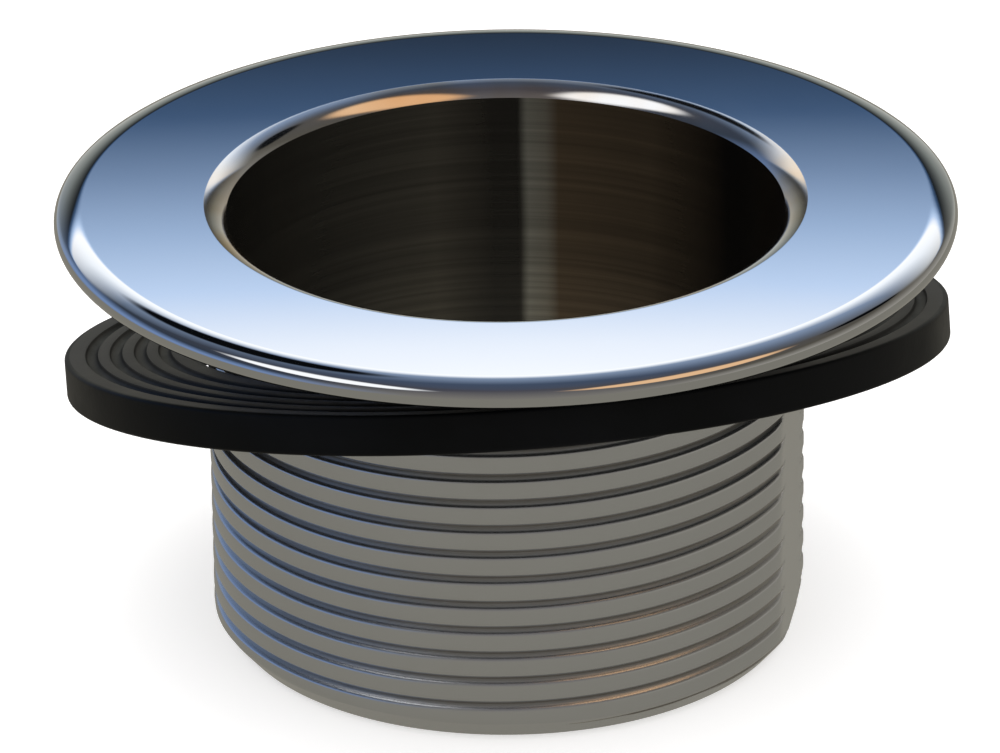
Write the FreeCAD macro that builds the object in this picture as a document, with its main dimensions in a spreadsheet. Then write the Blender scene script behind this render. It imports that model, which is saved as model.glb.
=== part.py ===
import FreeCAD, Part
import math
import os

import Sketcher
from FreeCAD import Placement, Rotation, Vector

# Thru hull fitting: a one-piece flanged barrel with an outside thread, and the loose ribbed
# gasket on it. Millimetres. The origin is the centre of the barrel's lower end, with +Z up
# along the bore, so the fitting stands on the plane z = 0 with its flange on top.
sizes = {
    # flange, from its rim in to the lip of the bore
    "totalHeight": 36.5,
    "flangeRadius": 36.0,
    "bullnoseCurve": 0.88,          # rounded rim
    "shoulderCurve": 4.0,           # roll from the top face into the rim
    "shoulderStartRadius": 33.8,
    "lipOuterRadius": 24.1,
    "lipCurve": 2.0,
    # barrel
    "boreRadius": 22.3,
    "neckRadius": 23.15,            # thread relief under the flange
    "neckHeight": 2.4,
    "chamferWidth": 1.45,
    "chamferHeight": 1.7,
    # outside thread, 11.5 turns to the inch
    "crestRadius": 24.05,
    "threadPitch": 25.4 / 11.5,
    "threadDepth": 0.55,
    "threadRootFlat": 0.1,
    "threadStart": -2.8,            # the cutter enters below the barrel's end
    "threadTop": 33.2,              # and leaves inside the relief
    "cutterOverhang": 0.5,
    # narrow flat down one side of the thread
    "flatDistance": 23.15,
    "flatDepthAllowed": 3.0,
    "flatHalfWidth": 9.0,
    "flatHeading": -10.0,           # degrees from +X
    # gasket
    "gasketRadius": 35.5,
    "gasketHoleRadius": 25.5,
    "gasketThickness": 3.2,
    "gasketChamfer": 0.3,
    "ribGrooveInset": 2.2,          # outermost groove, in from the gasket's edge
    "ribGrooveSpacing": 1.95,
    "ribGrooveCurve": 0.5,
    "gasketTilt": 14.1,             # degrees from square to the barrel
    "gasketHeading": 103.8,         # degrees from +X to the side that hangs low
    "gasketHeight": 23.75,          # its middle, on the barrel's axis
}
flankAngle = math.radians(30)       # half the thread's included angle
ribGrooves = 4
fullTurn = 360

value = sizes.__getitem__


def makeSheet(doc):
    sheet = doc.addObject("Spreadsheet::Sheet", "sizes")
    for row, (alias, number) in enumerate(sizes.items(), start=1):
        sheet.set(f"A{row}", alias)
        sheet.set(f"B{row}", repr(number))
        sheet.setAlias(f"B{row}", alias)
    doc.recompute()


def addSketch(body, name, role):
    plane = next(item for item in body.Origin.OriginFeatures if item.Role == role)
    sketch = body.newObject("Sketcher::SketchObject", name)
    sketch.AttachmentSupport = [(plane, "")]
    sketch.MapMode = "FlatFace"
    return sketch


def addLine(sketch, start, end):
    return sketch.addGeometry(Part.LineSegment(Vector(*start, 0), Vector(*end, 0)), False)


def addArc(sketch, centre, radius, fromDegrees, toDegrees):
    circle = Part.Circle(Vector(*centre, 0), Vector(0, 0, 1), radius)
    arc = Part.ArcOfCircle(circle, math.radians(fromDegrees), math.radians(toDegrees))
    return sketch.addGeometry(arc, False)


def bind(sketch, kind, places, size, expression):
    """Adds one size to the sketch and ties it to the sheet."""
    number = sketch.addConstraint(Sketcher.Constraint(kind, *places, size))
    sketch.setExpression(f"Constraints[{number}]", expression)


def bindPoint(sketch, line, end, across=None, up=None):
    """Ties one end of a line to a place on the sketch. across and up are (size, expression)."""
    if across:
        bind(sketch, "DistanceX", (-1, 1, line, end), *across)
    if up:
        bind(sketch, "DistanceY", (-1, 1, line, end), *up)


def joinEnds(sketch, count, smooth=()):
    """Closes a run of lines and arcs. smooth lists the joints that are tangent."""
    for first in range(count):
        kind = "Tangent" if first in smooth else "Coincident"
        sketch.addConstraint(Sketcher.Constraint(kind, first, 2, (first + 1) % count, 1))


def addPolygon(sketch, points):
    for start, end in zip(points, points[1:] + points[:1]):
        addLine(sketch, start, end)
    joinEnds(sketch, len(points))


def revolve(body, kind, name, profile):
    feature = body.newObject(f"PartDesign::{kind}", name)
    feature.Profile = profile
    feature.ReferenceAxis = (profile, ["V_Axis"])
    feature.Angle = fullTurn
    profile.Visibility = False
    body.Document.recompute()
    return feature


def drawBarrelProfile(sketch):
    """Half section of the flanged barrel, from the end of the bore round and back."""
    top = value("totalHeight")
    crest = value("crestRadius")
    bore = value("boreRadius")
    bullnose = value("bullnoseCurve")
    shoulder = value("shoulderCurve")
    rimCentre = value("flangeRadius") - bullnose
    reach = rimCentre - value("shoulderStartRadius")
    rimHeight = top - shoulder + math.sqrt((shoulder - bullnose) ** 2 - reach ** 2)
    rollEnd = math.degrees(math.acos(reach / (shoulder - bullnose)))
    underside = rimHeight - bullnose
    reliefBottom = underside - value("neckHeight")
    lipEnd = math.degrees(math.acos((bore - value("lipOuterRadius")) / value("lipCurve")))
    lipBottom = top - value("lipCurve") * (1 - math.sin(math.radians(lipEnd)))
    endRadius = crest - value("chamferWidth")

    land = addLine(sketch, (bore, 0), (endRadius, 0))
    chamfer = addLine(sketch, (endRadius, 0), (crest, value("chamferHeight")))
    outside = addLine(sketch, (crest, value("chamferHeight")), (crest, reliefBottom))
    reliefEdge = addLine(sketch, (crest, reliefBottom), (value("neckRadius"), reliefBottom))
    neck = addLine(sketch, (value("neckRadius"), reliefBottom), (value("neckRadius"), underside))
    seat = addLine(sketch, (value("neckRadius"), underside), (rimCentre, underside))
    rim = addArc(sketch, (rimCentre, rimHeight), bullnose, -90, rollEnd)
    roll = addArc(sketch, (value("shoulderStartRadius"), top - shoulder), shoulder, rollEnd, 90)
    face = addLine(sketch, (value("shoulderStartRadius"), top), (value("lipOuterRadius"), top))
    lip = addArc(sketch, (value("lipOuterRadius"), top - value("lipCurve")), value("lipCurve"),
                 90, lipEnd)
    wall = addLine(sketch, (bore, lipBottom), (bore, 0))
    joinEnds(sketch, sketch.GeometryCount, smooth=(seat, rim))

    for line in (land, reliefEdge, seat, face):
        sketch.addConstraint(Sketcher.Constraint("Horizontal", line))
    for line in (outside, neck, wall):
        sketch.addConstraint(Sketcher.Constraint("Vertical", line))
    sketch.addConstraint(Sketcher.Constraint("PointOnObject", land, 1, -1))
    sketch.addConstraint(Sketcher.Constraint("Vertical", roll, 2, roll, 3))
    sketch.addConstraint(Sketcher.Constraint("Vertical", lip, 1, lip, 3))

    bindPoint(sketch, land, 1, across=(bore, "sizes.boreRadius"))
    bindPoint(sketch, land, 2, across=(endRadius, "sizes.crestRadius - sizes.chamferWidth"))
    bindPoint(sketch, chamfer, 2, across=(crest, "sizes.crestRadius"),
              up=(value("chamferHeight"), "sizes.chamferHeight"))
    bindPoint(sketch, neck, 1, across=(value("neckRadius"), "sizes.neckRadius"))
    bind(sketch, "DistanceY", (neck, 1, neck, 2), value("neckHeight"), "sizes.neckHeight")
    bind(sketch, "Radius", (rim,), bullnose, "sizes.bullnoseCurve")
    bind(sketch, "DistanceX", (-1, 1, rim, 3), rimCentre, "sizes.flangeRadius - sizes.bullnoseCurve")
    bind(sketch, "Radius", (roll,), shoulder, "sizes.shoulderCurve")
    bindPoint(sketch, face, 1, across=(value("shoulderStartRadius"), "sizes.shoulderStartRadius"),
              up=(top, "sizes.totalHeight"))
    bindPoint(sketch, face, 2, across=(value("lipOuterRadius"), "sizes.lipOuterRadius"))
    bind(sketch, "Radius", (lip,), value("lipCurve"), "sizes.lipCurve")


def drawFlat(sketch):
    """Rectangle that takes a narrow flat off the barrel, drawn square to the flat's heading."""
    near = value("flatDistance")
    far = near + value("flatDepthAllowed")
    half = value("flatHalfWidth")
    addPolygon(sketch, [(near, -half), (far, -half), (far, half), (near, half)])
    for line in (0, 2):
        sketch.addConstraint(Sketcher.Constraint("Horizontal", line))
    for line in (1, 3):
        sketch.addConstraint(Sketcher.Constraint("Vertical", line))
    bindPoint(sketch, 0, 1, across=(near, "sizes.flatDistance"))
    bind(sketch, "DistanceX", (0, 1, 0, 2), far - near, "sizes.flatDepthAllowed")
    bindPoint(sketch, 2, 1, up=(half, "sizes.flatHalfWidth"))
    bindPoint(sketch, 3, 2, up=(-half, "-sizes.flatHalfWidth"))


def drawThreadGroove(sketch):
    """Section of one thread groove: a narrow root with 30 degree flanks, past the crest."""
    root = value("crestRadius") - value("threadDepth")
    outer = value("crestRadius") + value("cutterOverhang")
    halfRoot = value("threadRootFlat") / 2
    halfMouth = halfRoot + (outer - root) * math.tan(flankAngle)
    middle = value("threadStart")
    addPolygon(sketch, [(root, middle - halfRoot), (outer, middle - halfMouth),
                        (outer, middle + halfMouth), (root, middle + halfRoot)])
    for line in (1, 3):
        sketch.addConstraint(Sketcher.Constraint("Vertical", line))
    depth = "(sizes.threadDepth + sizes.cutterOverhang)"
    mouth = f"(sizes.threadRootFlat + 2 * {depth} * tan({math.degrees(flankAngle)} deg))"
    bindPoint(sketch, 3, 2, across=(root, "sizes.crestRadius - sizes.threadDepth"),
              up=(middle - halfRoot, "sizes.threadStart - sizes.threadRootFlat / 2"))
    bindPoint(sketch, 1, 1, across=(outer, "sizes.crestRadius + sizes.cutterOverhang"),
              up=(middle - halfMouth, f"sizes.threadStart - {mouth} / 2"))
    bind(sketch, "DistanceY", (3, 2, 3, 1), 2 * halfRoot, "sizes.threadRootFlat")
    bind(sketch, "DistanceY", (1, 1, 1, 2), 2 * halfMouth, mouth)


def makeFlangedBarrel(doc):
    body = doc.addObject("PartDesign::Body", "flanged_barrel")
    profile = addSketch(body, "barrelProfile", "XZ_Plane")
    drawBarrelProfile(profile)
    revolve(body, "Revolution", "turnedBarrel", profile)

    flat = addSketch(body, "flatOutline", "XY_Plane")
    flat.AttachmentOffset = Placement(Vector(), Rotation(Vector(0, 0, 1), value("flatHeading")))
    drawFlat(flat)
    cut = body.newObject("PartDesign::Pocket", "sideFlat")
    cut.Profile = flat
    cut.Reversed = True
    cut.setExpression("Length", "sizes.threadTop")
    doc.recompute()

    groove = addSketch(body, "threadGroove", "XZ_Plane")
    drawThreadGroove(groove)
    thread = body.newObject("PartDesign::SubtractiveHelix", "thread")
    thread.Profile = groove
    thread.ReferenceAxis = (groove, ["V_Axis"])
    thread.Mode = "pitch-height-angle"
    thread.setExpression("Pitch", "sizes.threadPitch")
    thread.setExpression("Height", "sizes.threadTop - sizes.threadStart")
    doc.recompute()
    return body


def drawGasketSection(sketch):
    hole = value("gasketHoleRadius")
    outer = value("gasketRadius")
    half = value("gasketThickness") / 2
    edge = value("gasketChamfer")
    addPolygon(sketch, [(hole, -half), (outer - edge, -half), (outer, edge - half),
                        (outer, half - edge), (outer - edge, half), (hole, half)])
    bindPoint(sketch, 0, 1, across=(hole, "sizes.gasketHoleRadius"),
              up=(-half, "-sizes.gasketThickness / 2"))
    bindPoint(sketch, 1, 1, across=(outer - edge, "sizes.gasketRadius - sizes.gasketChamfer"),
              up=(-half, "-sizes.gasketThickness / 2"))
    bindPoint(sketch, 2, 1, across=(outer, "sizes.gasketRadius"),
              up=(edge - half, "sizes.gasketChamfer - sizes.gasketThickness / 2"))
    bindPoint(sketch, 3, 1, across=(outer, "sizes.gasketRadius"),
              up=(half - edge, "sizes.gasketThickness / 2 - sizes.gasketChamfer"))
    bindPoint(sketch, 4, 1, across=(outer - edge, "sizes.gasketRadius - sizes.gasketChamfer"),
              up=(half, "sizes.gasketThickness / 2"))
    bindPoint(sketch, 5, 1, across=(hole, "sizes.gasketHoleRadius"),
              up=(half, "sizes.gasketThickness / 2"))


def drawRibGrooves(sketch):
    """Circles on the gasket's upper face, one for each ring-shaped groove between the ribs."""
    half = value("gasketThickness") / 2
    for number in range(ribGrooves):
        inset = value("ribGrooveInset") + number * value("ribGrooveSpacing")
        centre = Vector(value("gasketRadius") - inset, half, 0)
        circle = sketch.addGeometry(Part.Circle(centre, Vector(0, 0, 1), value("ribGrooveCurve")))
        place = f"sizes.gasketRadius - sizes.ribGrooveInset - {number} * sizes.ribGrooveSpacing"
        bindPoint(sketch, circle, 3, across=(centre.x, place), up=(half, "sizes.gasketThickness / 2"))
        bind(sketch, "Radius", (circle,), value("ribGrooveCurve"), "sizes.ribGrooveCurve")


def makeGasket(doc):
    body = doc.addObject("PartDesign::Body", "ribbed_gasket")
    section = addSketch(body, "gasketSection", "XZ_Plane")
    drawGasketSection(section)
    revolve(body, "Revolution", "gasketRing", section)
    grooves = addSketch(body, "ribGrooves", "XZ_Plane")
    drawRibGrooves(grooves)
    revolve(body, "Groove", "ribs", grooves)

    # It hangs loose on the thread, tipped about a level line through the middle of its hole.
    heading = math.radians(value("gasketHeading"))
    tipAxis = Vector(-math.sin(heading), math.cos(heading), 0)
    body.Placement = Placement(Vector(), Rotation(tipAxis, value("gasketTilt")))
    body.setExpression("Placement.Rotation.Angle", "sizes.gasketTilt * 1 deg")
    body.setExpression("Placement.Base.z", "sizes.gasketHeight")
    doc.recompute()
    return body


def checkAndWrite(doc, bodies):
    for item in doc.Objects:
        if {"Invalid", "Error"} & set(item.State):
            raise RuntimeError(f"{item.Name} did not compute: {item.State}")
    os.makedirs("parts", exist_ok=True)
    for body in bodies:
        shape = body.Shape
        if shape.isNull() or not shape.isValid() or len(shape.Solids) != 1:
            raise RuntimeError(f"{body.Label} is not one valid solid")
        shape.exportStep(f"parts/{body.Label}.step")
        print(body.Label, round(shape.Volume), "mm3", shape.BoundBox)


doc = FreeCAD.newDocument("thru_hull_fitting")
makeSheet(doc)
bodies = [makeFlangedBarrel(doc), makeGasket(doc)]
doc.recompute()
checkAndWrite(doc, bodies)
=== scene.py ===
import math

import bmesh
import bpy
import numpy as np
from mathutils import Matrix, Vector


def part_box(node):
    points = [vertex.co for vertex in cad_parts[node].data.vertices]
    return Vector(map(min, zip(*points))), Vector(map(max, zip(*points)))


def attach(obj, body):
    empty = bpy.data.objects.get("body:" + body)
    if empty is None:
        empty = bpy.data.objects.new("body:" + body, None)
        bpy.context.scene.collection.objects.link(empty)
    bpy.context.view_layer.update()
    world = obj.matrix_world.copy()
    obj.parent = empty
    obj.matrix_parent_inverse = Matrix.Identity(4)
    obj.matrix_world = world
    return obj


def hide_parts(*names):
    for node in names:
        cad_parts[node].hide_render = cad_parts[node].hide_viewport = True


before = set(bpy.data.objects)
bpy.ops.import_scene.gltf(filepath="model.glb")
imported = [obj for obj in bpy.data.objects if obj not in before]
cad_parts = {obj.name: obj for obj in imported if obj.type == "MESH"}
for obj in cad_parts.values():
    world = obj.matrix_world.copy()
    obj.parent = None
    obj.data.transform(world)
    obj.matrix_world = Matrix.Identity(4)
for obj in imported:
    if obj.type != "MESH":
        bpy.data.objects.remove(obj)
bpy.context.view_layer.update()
mm = 0.001
weldDistance = 0.0015 * mm    # points nearer than this are one point


def linearColour(hexText):
    # sRGB hex to linear: c / 12.92 under the knee, ((c + 0.055) / 1.055) ^ 2.4 above it
    parts = np.array([int(hexText[i:i + 2], 16) for i in (1, 3, 5)]) / 255
    linear = np.where(parts <= 0.04045, parts / 12.92, ((parts + 0.055) / 1.055) ** 2.4)
    return (*linear.tolist(), 1.0)


def addNode(tree, kind, inputs=None, stops=None, **settings):
    # one node with its settings, its plain values, its links and, on a ramp, its stops
    node = tree.nodes.new(kind)
    for name, setting in settings.items():
        setattr(node, name, setting)
    for socket, given in (inputs or {}).items():
        if isinstance(given, bpy.types.NodeSocket):
            tree.links.new(given, node.inputs[socket])
        else:
            node.inputs[socket].default_value = given
    if stops:
        elements = node.color_ramp.elements
        while len(elements) < len(stops):
            elements.new(1.0)
        for element, (place, tone) in zip(elements, sorted(stops)):
            element.position = place
            element.color = linearColour(tone) if isinstance(tone, str) else (tone, tone, tone, 1)
    return node


def startMaterial(name):
    material = bpy.data.materials.new(name)
    material.use_nodes = True
    tree = material.node_tree
    tree.nodes.clear()
    shader = tree.nodes.new("ShaderNodeBsdfPrincipled")
    output = tree.nodes.new("ShaderNodeOutputMaterial")
    tree.links.new(shader.outputs["BSDF"], output.inputs["Surface"])
    return material, tree, shader


def ringSurface(name, radii, heights, turns, slots, materials, depths=None, sharpAngle=28):
    # a closed section carried round the axis: x = r cos t, y = r sin t, z = h, where the row is the
    # place along the section and the column is the angle t. The last row joins the first.
    rows, columns = radii.shape
    points = np.stack([radii * np.cos(turns), radii * np.sin(turns), heights], -1) * mm
    index = np.arange(rows * columns).reshape(rows, columns)
    after = np.roll(index, -1, axis=0)
    faces = np.stack([index[:, :-1], after[:, :-1], after[:, 1:], index[:, 1:]], -1).reshape(-1, 4)
    mesh = bpy.data.meshes.new(name)
    mesh.from_pydata(points.reshape(-1, 3).tolist(), [], faces.tolist())
    mesh.polygons.foreach_set("material_index", np.repeat(slots, columns - 1).astype(np.int32))
    if depths is not None:
        depthLayer = mesh.attributes.new("grooveDepth", "FLOAT", "POINT")
        depthLayer.data.foreach_set("value", depths.astype(np.float32).ravel())
    work = bmesh.new()
    work.from_mesh(mesh)
    bmesh.ops.remove_doubles(work, verts=work.verts, dist=weldDistance)
    bmesh.ops.dissolve_degenerate(work, edges=work.edges, dist=0.001 * mm)
    work.to_mesh(mesh)
    work.free()
    for material in materials:
        mesh.materials.append(material)
    mesh.polygons.foreach_set("use_smooth", np.ones(len(mesh.polygons), bool))
    mesh.set_sharp_from_angle(angle=math.radians(sharpAngle))
    mesh.update()
    piece = bpy.data.objects.new(name, mesh)
    bpy.context.scene.collection.objects.link(piece)
    return piece


def arcPoints(centre, radius, fromDegrees, toDegrees, count):
    # points on a circle: centre + radius (cos a, sin a)
    angles = np.radians(np.linspace(fromDegrees, toDegrees, count))
    return np.stack([centre[0] + radius * np.cos(angles), centre[1] + radius * np.sin(angles)], -1)


camera = {"place": (-0.00062, -0.6218, 0.3104), "downDegrees": 24.98, "rollRadians": -0.012,
          "lens": 307.2}
down = math.radians(camera["downDegrees"])
forward = Vector((0, math.cos(down), -math.sin(down)))
level = Vector((1, 0, 0))
upright = level.cross(forward)
right = level * math.cos(camera["rollRadians"]) + upright * math.sin(camera["rollRadians"])
up = right.cross(forward)
cameraData = bpy.data.cameras.new("studioCamera")
cameraData.lens = camera["lens"]
cameraData.sensor_width = 36
cameraData.clip_start = 0.01
cameraData.clip_end = 50
cameraObject = bpy.data.objects.new("studioCamera", cameraData)
bpy.context.scene.collection.objects.link(cameraObject)
turn = Matrix((right, up, -forward)).transposed().to_4x4()
cameraObject.matrix_world = Matrix.Translation(camera["place"]) @ turn
bpy.context.scene.camera = cameraObject
print("camera placed")


studio = {
    "room": "#F8F8F9",           # what matt surfaces and the eye see of the room
    "roomGain": 1.3,
    "plateGain": 1.7,            # room light over what bare plate returns of it
    "floorPale": "#F6F5F4",
    "floorGlow": 0.42,           # the table is lit a little from beneath
    "floorMirrored": "#78756C",
    # what polished metal sees of the walls, low to high: elevation in degrees and tone
    "farWall": [(-10, "#C0C0B8"), (15, "#707470"), (22.5, "#181C20"), (23.3, "#405878"),
                (24.3, "#B0C8E8"), (25, "#FFFFFF"), (29, "#F0F4F8"), (38, "#8090A8"),
                (60, "#404C60"), (90, "#484850")],
    "leftWall": [(-10, "#687080"), (10, "#7088B0"), (35, "#303844"), (90, "#484850")],
    "rightWall": [(-10, "#A09C94"), (35, "#504C44"), (90, "#484850")],
    "backWall": [(-10, "#7C7870"), (90, "#484850")],
    "farWallTurns": (10, 50),    # degrees off the middle, where the far wall gives way to a side wall
    "backWallTurns": (110, 160),
    # soft lights and black flags: azimuth, elevation, half widths of both, tone
    "panels": [(-95, 64, 60, 15, "#FFFFFF"), (100, 64, 64, 15, "#E4B88C"),
               (-15, 44, 11, 11, "#080A0C"), (46, 42, 11, 9, "#080A0C")],
    "panelSoftness": 0.35,       # share of a panel's reach over which its edge fades
}


def makeRoom():
    world = bpy.data.worlds.new("studioRoom")
    bpy.context.scene.world = world
    world.use_nodes = True
    tree = world.node_tree
    tree.nodes.clear()
    where = addNode(tree, "ShaderNodeTexCoord").outputs["Generated"]
    axes = addNode(tree, "ShaderNodeSeparateXYZ", {"Vector": where}).outputs

    def maths(operation, *terms):
        given = {i: term for i, term in enumerate(terms)}
        return addNode(tree, "ShaderNodeMath", given, operation=operation).outputs[0]

    azimuth = maths("DEGREES", maths("ARCTAN2", axes["X"], axes["Y"]))
    elevation = maths("DEGREES", maths("ARCSINE", axes["Z"]))

    def fade(amount, start, end, low=0.0, high=1.0):
        given = {"Value": amount, "From Min": start, "From Max": end, "To Min": low, "To Max": high}
        return addNode(tree, "ShaderNodeMapRange", given, interpolation_type="SMOOTHSTEP").outputs[0]

    def wall(tones):
        low, high = tones[0][0], tones[-1][0]
        place = maths("DIVIDE", maths("SUBTRACT", elevation, low), high - low)
        stops = [((height - low) / (high - low), tone) for height, tone in tones]
        return addNode(tree, "ShaderNodeValToRGB", {"Fac": place}, stops=stops).outputs["Color"]

    def mixed(share, first, second):
        node = addNode(tree, "ShaderNodeMix", {0: share, 6: first, 7: second}, data_type="RGBA")
        return node.outputs[2]

    offMiddle = maths("ABSOLUTE", azimuth)
    sides = mixed(fade(azimuth, -5, 5), wall(studio["leftWall"]), wall(studio["rightWall"]))
    tone = mixed(fade(offMiddle, *studio["farWallTurns"]), wall(studio["farWall"]), sides)
    tone = mixed(fade(offMiddle, *studio["backWallTurns"]), tone, wall(studio["backWall"]))
    spot = addNode(tree, "ShaderNodeCombineXYZ", {"X": azimuth, "Y": elevation}).outputs[0]
    for panelAzimuth, panelElevation, wide, high, panelTone in studio["panels"]:
        scaled = addNode(tree, "ShaderNodeMapping",
                         {"Vector": spot, "Location": (panelAzimuth, panelElevation, 0),
                          "Scale": (wide, high, 1)}, vector_type="TEXTURE").outputs[0]
        reach = addNode(tree, "ShaderNodeVectorMath", {0: scaled}, operation="LENGTH").outputs["Value"]
        covered = fade(reach, 1 - studio["panelSoftness"], 1, 1, 0)
        tone = mixed(covered, tone, linearColour(panelTone))

    shown = addNode(tree, "ShaderNodeBackground",
                    {"Color": linearColour(studio["room"]), "Strength": studio["roomGain"]}).outputs[0]
    mirrored = addNode(tree, "ShaderNodeBackground",
                       {"Color": tone, "Strength": studio["plateGain"]}).outputs[0]
    glossy = addNode(tree, "ShaderNodeLightPath").outputs["Is Glossy Ray"]
    light = addNode(tree, "ShaderNodeMixShader", {0: glossy, 1: shown, 2: mirrored}).outputs[0]
    addNode(tree, "ShaderNodeOutputWorld", {"Surface": light})


def makeFloor():
    half = 4.0                   # metres
    drop = 0.02 * mm             # kept just clear of the barrel's lower end
    mesh = bpy.data.meshes.new("floor")
    mesh.from_pydata([(-half, -half, 0), (half, -half, 0), (half, half, 0), (-half, half, 0)],
                     [], [(0, 1, 2, 3)])
    floor = bpy.data.objects.new("floor", mesh)
    bpy.context.scene.collection.objects.link(floor)
    floor.location.z = -drop
    material, tree, shader = startMaterial("pale paper floor")
    glossy = addNode(tree, "ShaderNodeLightPath").outputs["Is Glossy Ray"]
    pale = linearColour(studio["floorPale"])
    colour = addNode(tree, "ShaderNodeMix", {0: glossy, 6: pale, 7: (0, 0, 0, 1)}, data_type="RGBA")
    glow = addNode(tree, "ShaderNodeMix",
                   {0: glossy, 6: pale, 7: linearColour(studio["floorMirrored"])}, data_type="RGBA")
    power = addNode(tree, "ShaderNodeMapRange", {"Value": glossy, "To Min": studio["floorGlow"],
                                                 "To Max": studio["plateGain"]})
    tree.links.new(colour.outputs[2], shader.inputs["Base Color"])
    tree.links.new(glow.outputs[2], shader.inputs["Emission Color"])
    tree.links.new(power.outputs[0], shader.inputs["Emission Strength"])
    shader.inputs["Roughness"].default_value = 0.9
    shader.inputs["Specular IOR Level"].default_value = 0.0
    mesh.materials.append(material)


bpy.context.scene.view_settings.view_transform = "Standard"
makeRoom()
makeFloor()
print("studio lit")


plate = {
    "bright": "#C6C8CB",        # chromium plate, which returns a little over half the light
    "dull": "#B4B2AE",
    # painted shade down in the thread roots
    "root": "#6A665E",
    # the film down the bore, from its left wall across to its right, with painted shade dark at both sides
    # and a painted upright reflection band just right of the middle
    "boreFilmShadeAndReflections": [(0.0, "#040404"), (0.15, "#34322C"), (0.4, "#504C42"), (0.5, "#2E2C27"),
                  (0.55, "#2E2C27"), (0.565, "#868478"), (0.6, "#7C776A"), (0.625, "#5A4C3A"),
                  (0.8, "#4E4334"), (0.92, "#100E0C"), (1.0, "#040404")],
    "worn": "#B89A6C",          # brass showing through where the plate has rubbed thin
    "flangeRoughness": 0.018,
    "boreRoughness": 0.26,
    "threadRoughness": 0.24,
    "lipRoughness": 0.09,
    "boreDarkestHeight": 34.0,         # mm up the bore, where the bore colour is darkest; it lightens towards the bottom
}


def makePolishedPlate():
    # bright chromium plate over buffed brass: a clean mirror with a faint unevenness
    material, tree, shader = startMaterial("buffed chromium plate")
    place = addNode(tree, "ShaderNodeTexCoord").outputs["Object"]
    film = addNode(tree, "ShaderNodeTexNoise", {"Vector": place, "Scale": 120.0, "Detail": 3.0,
                                                "Roughness": 0.6}).outputs["Fac"]
    roughness = addNode(tree, "ShaderNodeMapRange", {"Value": film, "From Min": 0.3, "From Max": 0.75,
                                                     "To Min": plate["flangeRoughness"] * 0.7,
                                                     "To Max": plate["flangeRoughness"] * 1.5})
    tree.links.new(roughness.outputs[0], shader.inputs["Roughness"])
    shader.inputs["Base Color"].default_value = linearColour(plate["bright"])
    shader.inputs["Metallic"].default_value = 1.0
    return material


def makeTurnedBore():
    # a lathe-turned bore: half metal, half a dull brownish film laid across it from left to right, with
    # painted shade darkest at the sides and painted reflections in upright bands, over the fine rings left
    # by the tool
    material, tree, shader = startMaterial("turned bore, film with painted shade and reflections")
    place = addNode(tree, "ShaderNodeTexCoord").outputs["Object"]
    axes = addNode(tree, "ShaderNodeSeparateXYZ", {"Vector": place}).outputs
    rings = addNode(tree, "ShaderNodeMapping", {"Vector": place, "Scale": (12, 12, 1 / (0.55 * mm))})
    marks = addNode(tree, "ShaderNodeTexNoise", {"Vector": rings.outputs[0], "Scale": 1.0,
                                                 "Detail": 4.0, "Roughness": 0.65}).outputs["Fac"]
    upright = addNode(tree, "ShaderNodeMapping", {"Vector": place, "Scale": (1, 1, 0.12)})
    drift = addNode(tree, "ShaderNodeTexNoise", {"Vector": upright.outputs[0], "Scale": 160.0,
                                                 "Detail": 2.0, "Roughness": 0.5}).outputs["Fac"]
    across = addNode(tree, "ShaderNodeMapRange", {"Value": axes["X"],
                                                  "From Min": -barrel["bore"] * mm,
                                                  "From Max": barrel["bore"] * mm})
    strayed = addNode(tree, "ShaderNodeMath", {0: drift, 1: 0.05, 2: across.outputs[0]},
                      operation="MULTIPLY_ADD")
    # painted shade and painted reflections: the bands are laid across the bore from its left wall to its
    # right
    film = addNode(tree, "ShaderNodeValToRGB", {"Fac": strayed.outputs[0]}, stops=plate["boreFilmShadeAndReflections"])
    lined = addNode(tree, "ShaderNodeMapRange", {"Value": marks, "From Min": 0.3, "From Max": 0.7,
                                                 "To Min": 0.72, "To Max": 1.25})
    # darker towards the top of the bore, lighter towards the bottom
    lowered = addNode(tree, "ShaderNodeMapRange", {"Value": axes["Z"], "From Min": 0,
                                                   "From Max": plate["boreDarkestHeight"] * mm,
                                                   "To Min": 1.45, "To Max": 0.7})
    strength = addNode(tree, "ShaderNodeMath", {0: lined.outputs[0], 1: lowered.outputs[0]},
                       operation="MULTIPLY")
    colour = addNode(tree, "ShaderNodeMix", {0: 1.0, 6: film.outputs["Color"], 7: strength.outputs[0]},
                     data_type="RGBA", blend_type="MULTIPLY")
    bump = addNode(tree, "ShaderNodeBump", {"Height": marks, "Strength": 0.35, "Distance": 0.02 * mm})
    tree.links.new(bump.outputs[0], shader.inputs["Normal"])
    tree.links.new(colour.outputs[2], shader.inputs["Base Color"])
    shader.inputs["Metallic"].default_value = 0.5
    shader.inputs["Roughness"].default_value = plate["boreRoughness"]
    return material


def makeWornLip():
    # plate rubbed thin over the lip: satin chromium with warm brass coming through in patches
    material, tree, shader = startMaterial("worn plate on the lip")
    place = addNode(tree, "ShaderNodeTexCoord").outputs["Object"]
    patches = addNode(tree, "ShaderNodeTexNoise", {"Vector": place, "Scale": 70.0, "Detail": 3.0,
                                                   "Roughness": 0.5}).outputs["Fac"]
    colour = addNode(tree, "ShaderNodeValToRGB", {"Fac": patches},
                     stops=[(0.4, plate["bright"]), (0.75, plate["worn"])])
    tree.links.new(colour.outputs[0], shader.inputs["Base Color"])
    shader.inputs["Metallic"].default_value = 1.0
    shader.inputs["Roughness"].default_value = plate["lipRoughness"]
    return material


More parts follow.
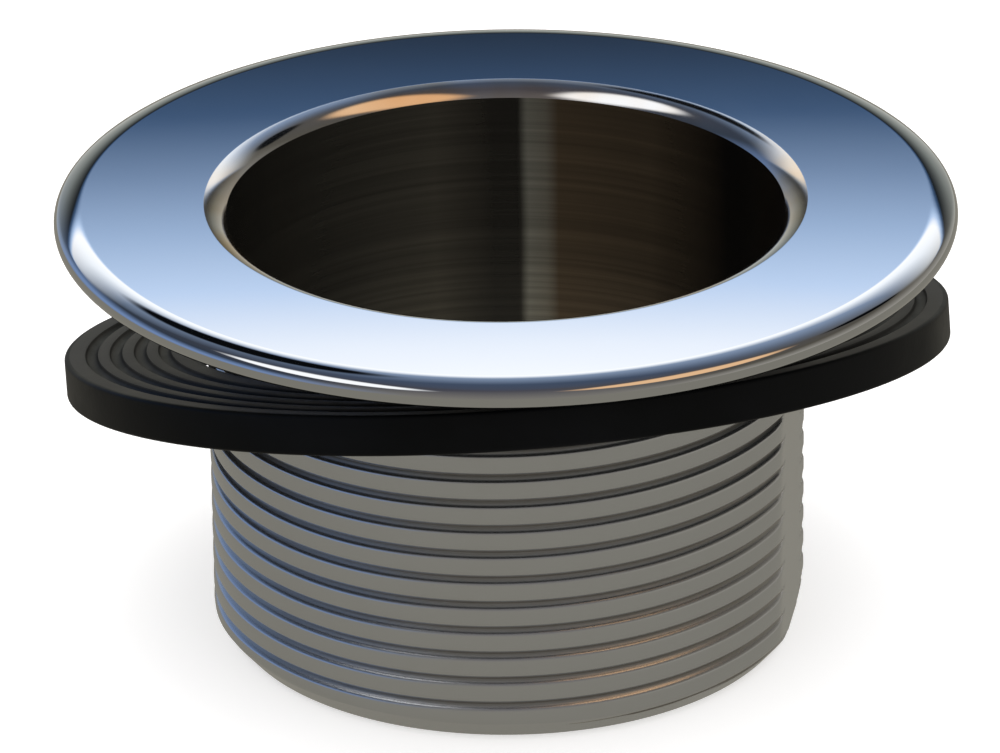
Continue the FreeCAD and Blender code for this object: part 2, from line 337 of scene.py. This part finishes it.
def makePlatedThread():
    # thin plate on a cut thread: satin on the crests, random dirt blotches, and painted shade darkening
    # down into the roots
    material, tree, shader = startMaterial("thinly plated cut thread")
    place = addNode(tree, "ShaderNodeTexCoord").outputs["Object"]
    depth = addNode(tree, "ShaderNodeAttribute", attribute_name="grooveDepth").outputs["Fac"]
    blotches = addNode(tree, "ShaderNodeTexNoise", {"Vector": place, "Scale": 260.0, "Detail": 5.0,
                                                    "Roughness": 0.65}).outputs["Fac"]
    # painted shade: the colour darkens with the groove's depth towards the root colour
    paintedGrooveShade = addNode(tree, "ShaderNodeMapRange", {"Value": depth, "From Min": 0.45, "From Max": 1.0,
                                                "To Max": 0.85}).outputs[0]
    dirtAndGrooveShade = addNode(tree, "ShaderNodeMath", {0: blotches, 1: 0.2, 2: paintedGrooveShade},
                   operation="MULTIPLY_ADD").outputs[0]
    colour = addNode(tree, "ShaderNodeValToRGB", {"Fac": dirtAndGrooveShade},
                     stops=[(0.1, plate["bright"]), (0.6, plate["dull"]), (1.0, plate["root"])])
    roughness = addNode(tree, "ShaderNodeMapRange", {"Value": dirtAndGrooveShade, "From Min": 0.0, "From Max": 1.0,
                                                     "To Min": plate["threadRoughness"],
                                                     "To Max": 0.4})
    tree.links.new(colour.outputs[0], shader.inputs["Base Color"])
    tree.links.new(roughness.outputs[0], shader.inputs["Roughness"])
    shader.inputs["Metallic"].default_value = 1.0
    return material


barrel = {
    "top": 36.5, "flangeRadius": 36.0, "bullnose": 0.88, "shoulder": 4.0, "shoulderStart": 33.8,
    "lipOuter": 24.05, "lipBreak": 0.1, "lipTilts": (8, 50),
    "bore": 22.3, "neck": 23.15, "neckHeight": 2.4,
    "chamferWidth": 1.45, "chamferHeight": 1.7, "crest": 24.05, "pitch": 25.4 / 11.5,
    "threadDepth": 0.55, "rootFlat": 0.1, "threadStart": -2.8,
    "flatDistance": 23.15, "flatHeading": -10.0, "columns": 192, "cornerSoftness": 0.26,
}


def threadDepthAt(heights, turns):
    # depth below the crest: the distance s to the nearest groove's middle runs down a 30 degree
    # flank, (mouth / 2 - |s|) / tan 30, held between 0 and the full depth with soft corners
    phase = (heights - barrel["threadStart"]) / barrel["pitch"] - turns / (2 * math.pi)
    offset = np.abs(phase - np.round(phase)) * barrel["pitch"]
    slope = math.tan(math.radians(30))
    mouth = barrel["rootFlat"] / 2 + barrel["threadDepth"] * slope
    raw = (mouth - offset) / slope
    soft = barrel["cornerSoftness"]

    def hinge(amount):
        return 0.5 * (amount + np.sqrt(amount ** 2 + soft ** 2))

    return hinge(raw) - hinge(raw - barrel["threadDepth"])


def makeBarrel():
    b = barrel
    turns = np.linspace(0, 2 * math.pi, b["columns"] + 1)
    rimRadius = b["flangeRadius"] - b["bullnose"]
    reach = rimRadius - b["shoulderStart"]
    rimHeight = b["top"] - b["shoulder"] + math.sqrt((b["shoulder"] - b["bullnose"]) ** 2 - reach ** 2)
    rollEnd = math.degrees(math.acos(reach / (b["shoulder"] - b["bullnose"])))
    underside = rimHeight - b["bullnose"]
    relief = underside - b["neckHeight"]
    # the lip breaks away from the face over a small curve, then rolls down to the bore
    breakTilt, endTilt = [math.radians(tilt) for tilt in b["lipTilts"]]
    lipOuter = b["lipOuter"] - b["lipBreak"] * math.sin(breakTilt)
    lipCurve = (lipOuter - b["bore"]) / (math.sin(endTilt) - math.sin(breakTilt))
    lipCentre = (lipOuter + lipCurve * math.sin(breakTilt),
                 b["top"] - b["lipBreak"] * (1 - math.cos(breakTilt)) - lipCurve * math.cos(breakTilt))
    lipBottom = lipCentre[1] + lipCurve * math.cos(endTilt)
    endRadius = b["crest"] - b["chamferWidth"]

    boreRows = np.stack([np.full(8, b["bore"]), np.linspace(0, lipBottom, 8)], -1)
    lipRows = arcPoints(lipCentre, lipCurve, 90 + b["lipTilts"][1], 90 + b["lipTilts"][0], 14)[1:]
    breakRows = arcPoints((b["lipOuter"], b["top"] - b["lipBreak"]), b["lipBreak"],
                          90 + b["lipTilts"][0], 90, 7)[1:]
    lipRows = np.concatenate([lipRows, breakRows])
    across = np.array([0.01, 0.04, 0.2, 0.4, 0.6, 0.8, 0.96, 0.99])
    faceRows = np.stack([b["lipOuter"] + across * (b["shoulderStart"] - b["lipOuter"]),
                         np.full(len(across), b["top"])], -1)
    rollRows = arcPoints((b["shoulderStart"], b["top"] - b["shoulder"]), b["shoulder"], 90, rollEnd, 14)
    rimRows = arcPoints((rimRadius, rimHeight), b["bullnose"], rollEnd, -90, 26)[1:]
    underRows = np.array([(rimRadius - 0.2, underside), (30.0, underside), (b["neck"], underside)])
    neckRows = np.array([(b["neck"], underside - 0.05), (b["neck"], relief + 0.05), (b["neck"], relief)])
    smooth = np.concatenate([boreRows, lipRows, faceRows, rollRows, rimRows, underRows, neckRows])

    # thread rows follow the helix, z = start + pitch (k + t / 2 pi + f), and stop at the relief and the end
    steps = np.array([0.0, 0.02, 0.05, 0.08, 0.105, 0.125, 0.145, 0.165, 0.185, 0.205, 0.23, 0.27, 0.35,
                      0.5])
    within = np.concatenate([steps, 1 - steps[-2:0:-1]])
    first = math.floor((0 - b["threadStart"]) / b["pitch"]) - 2
    last = math.ceil((relief - b["threadStart"]) / b["pitch"]) + 1
    levels = (np.arange(first, last + 1)[:, None] + within[None, :]).ravel()[::-1]
    heights = b["threadStart"] + b["pitch"] * (levels[:, None] + turns[None, :] / (2 * math.pi))
    heights = np.clip(heights, 0, relief)
    depths = threadDepthAt(heights, turns[None, :])
    chamfer = endRadius + heights * b["chamferWidth"] / b["chamferHeight"]
    facing = np.cos(turns - math.radians(b["flatHeading"]))
    flat = np.where(facing > 0.5, b["flatDistance"] / np.maximum(facing, 0.5), 99.0)
    radii = np.minimum(np.minimum(b["crest"] - depths, chamfer), flat[None, :])

    ones = np.ones((1, len(turns)))
    allRadii = np.concatenate([smooth[:, :1] * ones, radii])
    allHeights = np.concatenate([smooth[:, 1:] * ones, heights])
    allDepths = np.concatenate([np.zeros((len(smooth), len(turns))),
                                np.where(radii < b["crest"] - depths, 0, depths / b["threadDepth"])])
    slots = np.zeros(len(allRadii), int)
    slots[:len(boreRows) - 1] = 1
    slots[len(boreRows) - 1:len(boreRows) + len(lipRows) - 1] = 3
    slots[len(smooth) - len(neckRows) - 1:] = 2
    materials = [makePolishedPlate(), makeTurnedBore(), makePlatedThread(), makeWornLip()]
    piece = ringSurface("plated_barrel", allRadii, allHeights, turns, slots, materials, allDepths)
    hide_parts("flanged_barrel")
    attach(piece, "fitting")
    return piece


barrelPiece = makeBarrel()
print("barrel made,", len(barrelPiece.data.polygons), "faces")


gasket = {
    "outer": 35.5, "hole": 25.5, "thickness": 3.2, "edge": 0.3, "grooveInset": 2.2,
    "grooveSpacing": 1.95, "grooveCurve": 0.5, "grooves": 4, "ribEdge": 0.12,
    "tiltDegrees": 14.1, "headingDegrees": 103.8, "columns": 224,
    # the pale tone is a painted highlight on the rib tops
    "rubber": "#030405", "bloom": "#07080B", "ribHighlight": "#484644", "roughness": 0.4,
}


def makeRubber():
    # moulded black rubber: deep black and half matt, with a thin bloom in patches and a painted
    # highlight, pale in patches, along the tops of the ribs
    material, tree, shader = startMaterial("moulded black rubber")
    place = addNode(tree, "ShaderNodeTexCoord").outputs["Object"]
    depth = addNode(tree, "ShaderNodeAttribute", attribute_name="grooveDepth").outputs["Fac"]
    patches = addNode(tree, "ShaderNodeTexNoise", {"Vector": place, "Scale": 90.0, "Detail": 6.0,
                                                   "Roughness": 0.6}).outputs["Fac"]
    grain = addNode(tree, "ShaderNodeTexNoise", {"Vector": place, "Scale": 2600.0, "Detail": 3.0,
                                                 "Roughness": 0.6}).outputs["Fac"]
    clean = addNode(tree, "ShaderNodeValToRGB", {"Fac": patches},
                    stops=[(0.4, gasket["rubber"]), (0.8, gasket["bloom"])])
    # painted highlight: the tops of the ribs are painted paler, in patches, than the black grooves
    ribTop = addNode(tree, "ShaderNodeMapRange", {"Value": depth, "From Min": -1.0, "From Max": -0.6,
                                                  "To Min": 1.0, "To Max": 0.0}).outputs[0]
    ribHighlightPatches = addNode(tree, "ShaderNodeMapRange", {"Value": patches, "From Min": 0.35, "From Max": 0.6,
                                                  "To Min": 0.25, "To Max": 0.8}).outputs[0]
    share = addNode(tree, "ShaderNodeMath", {0: ribTop, 1: ribHighlightPatches}, operation="MULTIPLY").outputs[0]
    colour = addNode(tree, "ShaderNodeMix", {0: share, 6: clean.outputs["Color"],
                                             7: linearColour(gasket["ribHighlight"])}, data_type="RGBA")
    bump = addNode(tree, "ShaderNodeBump", {"Height": grain, "Strength": 0.25, "Distance": 0.03 * mm})
    roughness = addNode(tree, "ShaderNodeMapRange", {"Value": patches, "From Min": 0.3, "From Max": 0.7,
                                                     "To Min": gasket["roughness"] * 0.85,
                                                     "To Max": gasket["roughness"] * 1.3})
    tree.links.new(colour.outputs[2], shader.inputs["Base Color"])
    tree.links.new(bump.outputs[0], shader.inputs["Normal"])
    tree.links.new(roughness.outputs[0], shader.inputs["Roughness"])
    shader.inputs["Specular IOR Level"].default_value = 0.1
    return material


def makeGasket():
    g = gasket
    half = g["thickness"] / 2
    edge = g["edge"]
    # top face as height over radius: half the thickness less a round groove, sqrt(c^2 - d^2) deep,
    # at each groove's middle, with the ribs' corners eased over
    middles = g["outer"] - g["grooveInset"] - g["grooveSpacing"] * np.arange(g["grooves"])
    spread = np.array([-1.5, -1.15, -1.04, -0.98, -0.92, -0.8, -0.6, -0.3, 0, 0.3, 0.6, 0.8, 0.92,
                       0.98, 1.04, 1.15, 1.5]) * g["grooveCurve"]
    topRadii = np.unique(np.concatenate([(middles[:, None] + spread[None, :]).ravel(),
                                         [g["hole"] + 0.4, g["outer"] - edge - 0.15]]))
    distance = np.abs(topRadii[:, None] - middles[None, :]).min(axis=1)
    bowl = np.sqrt(np.clip(g["grooveCurve"] ** 2 - distance ** 2, 0, None))
    eased = g["ribEdge"] * 0.35 * np.clip(1.5 - distance / g["grooveCurve"], 0, 0.5) / 0.5
    topRows = np.stack([topRadii, half - np.maximum(bowl, eased)], -1)
    holeRows = np.concatenate([
        arcPoints((g["hole"] + 0.1, -half + 0.1), 0.1, 270, 180, 4),
        arcPoints((g["hole"] + 0.1, half - 0.1), 0.1, 180, 90, 4)])
    outerRows = np.concatenate([
        arcPoints((g["outer"] - edge, half - edge), edge, 90, 0, 7),
        arcPoints((g["outer"] - edge, -half + edge), edge, 0, -90, 7)])
    section = np.concatenate([holeRows, topRows, outerRows])
    turns = np.linspace(0, 2 * math.pi, g["columns"] + 1)
    ones = np.ones((1, len(turns)))
    slots = np.zeros(len(section), int)
    # -1 along the tops of the ribs, up to 0 in the grooves and on the walls
    depths = np.zeros(len(section))
    ribs = slice(len(holeRows), len(holeRows) + len(topRows))
    depths[ribs] = np.clip(np.maximum(bowl, eased) / g["grooveCurve"] - 1, -1, 0)
    piece = ringSurface("moulded_gasket", section[:, :1] * ones, section[:, 1:] * ones, turns, slots,
                        [makeRubber()], depths[:, None] * ones, sharpAngle=50)
    low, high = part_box("ribbed_gasket")
    heading = math.radians(g["headingDegrees"])
    tipAxis = Vector((-math.sin(heading), math.cos(heading), 0))
    tip = Matrix.Rotation(math.radians(g["tiltDegrees"]), 4, tipAxis)
    piece.data.transform(Matrix.Translation((low + high) / 2) @ tip)
    piece.data.update()
    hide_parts("ribbed_gasket")
    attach(piece, "gasket")
    return piece


gasketPiece = makeGasket()
print("gasket made,", len(gasketPiece.data.polygons), "faces")
